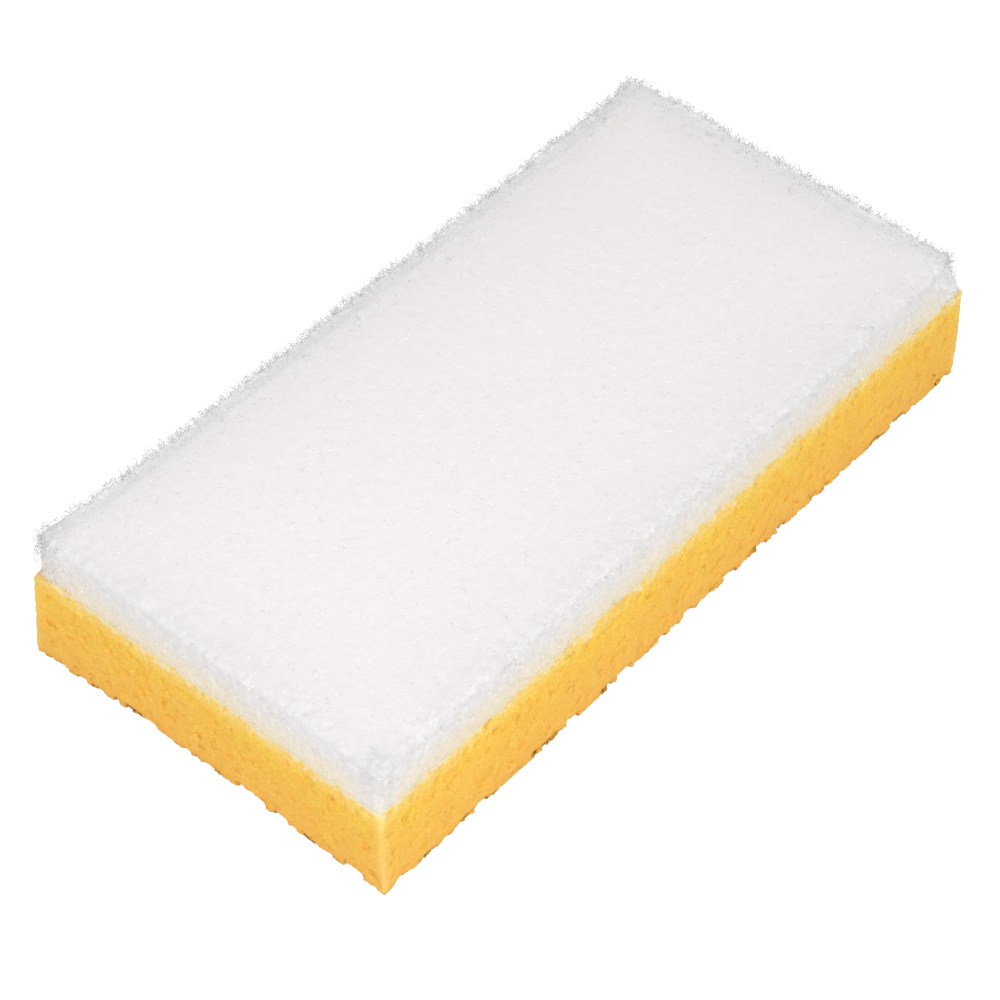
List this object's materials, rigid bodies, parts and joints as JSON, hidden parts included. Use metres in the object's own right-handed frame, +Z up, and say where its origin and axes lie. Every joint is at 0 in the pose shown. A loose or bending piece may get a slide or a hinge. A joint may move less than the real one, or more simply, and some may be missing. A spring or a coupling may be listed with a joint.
{
  "type": "sanding sponge",
  "caption": "Rectangular wet-sanding sponge: a yellow open-pore foam block with a thick white non-woven scouring pad bonded over its upper face.",
  "frame": {"origin": "middle of the foam block's underside", "axes": "+X along the length, +Y across the width, +Z up through the block into the scouring pad"},
  "size_m": [0.229, 0.114, 0.0445],
  "materials": {
    "yellow_foam": "matte open-cell foam",
    "white_fibre": "matte lofted non-woven fibre"
  },
  "bodies": {
    "root": {"foam_block": "yellow_foam", "scouring_pad": "white_fibre"}
  },
  "joints": []
}
